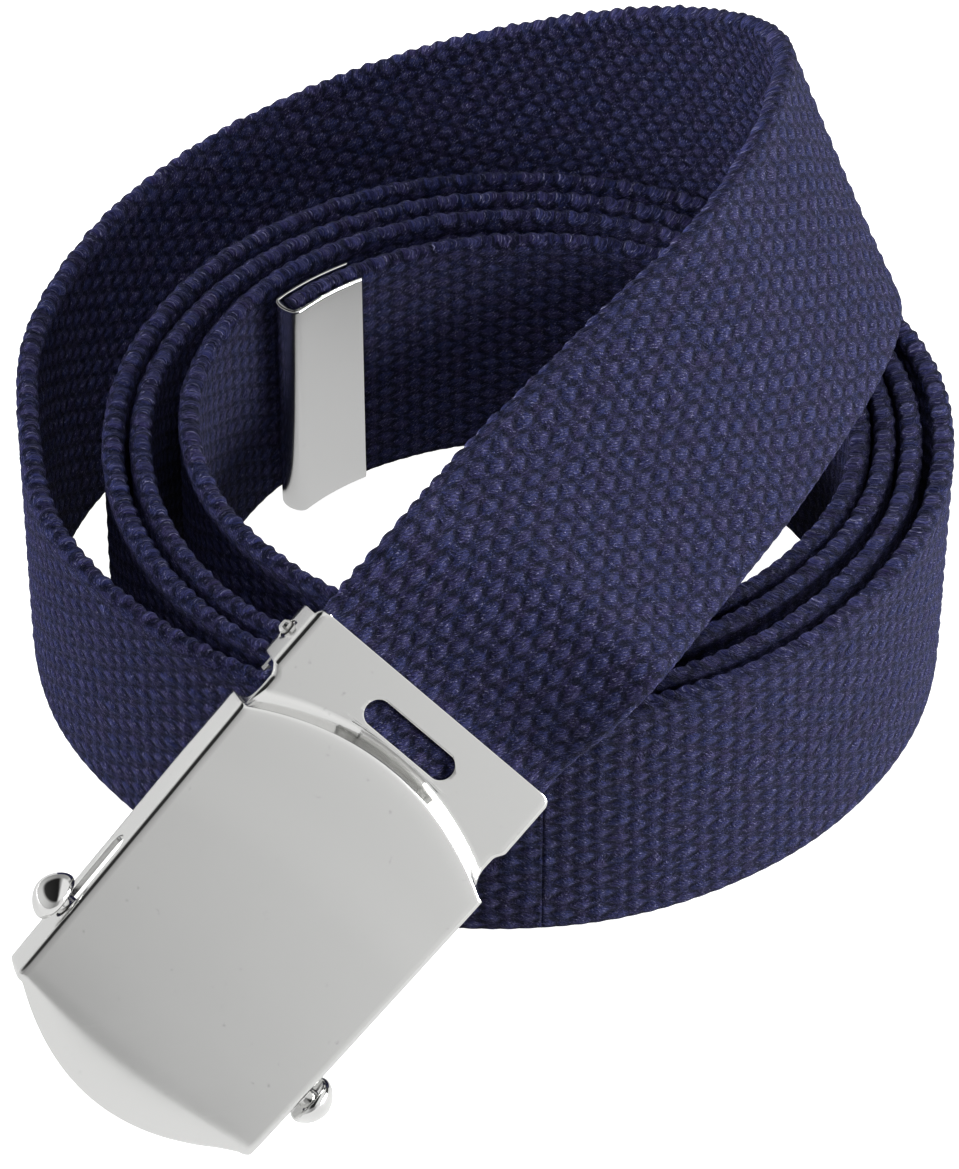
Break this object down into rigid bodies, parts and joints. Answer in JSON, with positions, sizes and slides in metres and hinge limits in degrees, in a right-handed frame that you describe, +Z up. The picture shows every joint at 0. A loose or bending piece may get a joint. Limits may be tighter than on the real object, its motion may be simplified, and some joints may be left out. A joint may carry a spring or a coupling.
{
  "type": "canvas web belt",
  "caption": "Cotton webbing belt coiled on its edge, with a metal slide-bar buckle hanging in front and a metal cap on the free end.",
  "frame": {"origin": "on the ground, at the middle of the footprint of the coil and the buckle", "axes": "+Z up, -Y towards the viewer and the hanging buckle, +X to the viewer's right"},
  "size_m": [0.1104, 0.1526, 0.0718],
  "materials": {
    "web_strap": "navy plain-woven cotton webbing, matt and slightly fuzzy",
    "strap_tip": "nickel plate, smooth satin",
    "buckle_case": "nickel plate, smooth satin",
    "slide_bar": "nickel plate, polished",
    "clamp_plate": "nickel plate, smooth satin"
  },
  "bodies": {
    "belt": {"web_strap": "web_strap", "strap_tip": "strap_tip", "buckle_case": "buckle_case"},
    "bar": {"slide_bar": "slide_bar"},
    "clamp": {"clamp_plate": "clamp_plate"}
  },
  "joints": [
    {"name": "bar_slide", "type": "slide", "parent": "belt", "child": "bar", "axis": [-0.6571, -0.479, -0.5821], "range_m": [-0.008, 0]},
    {"name": "clamp_hinge", "type": "hinge", "parent": "belt", "child": "clamp", "pos_m": [-0.00841, -0.04613, 0.03852], "axis": [0.7163, -0.1562, -0.6801], "range_deg": [0, 100]}
  ]
}
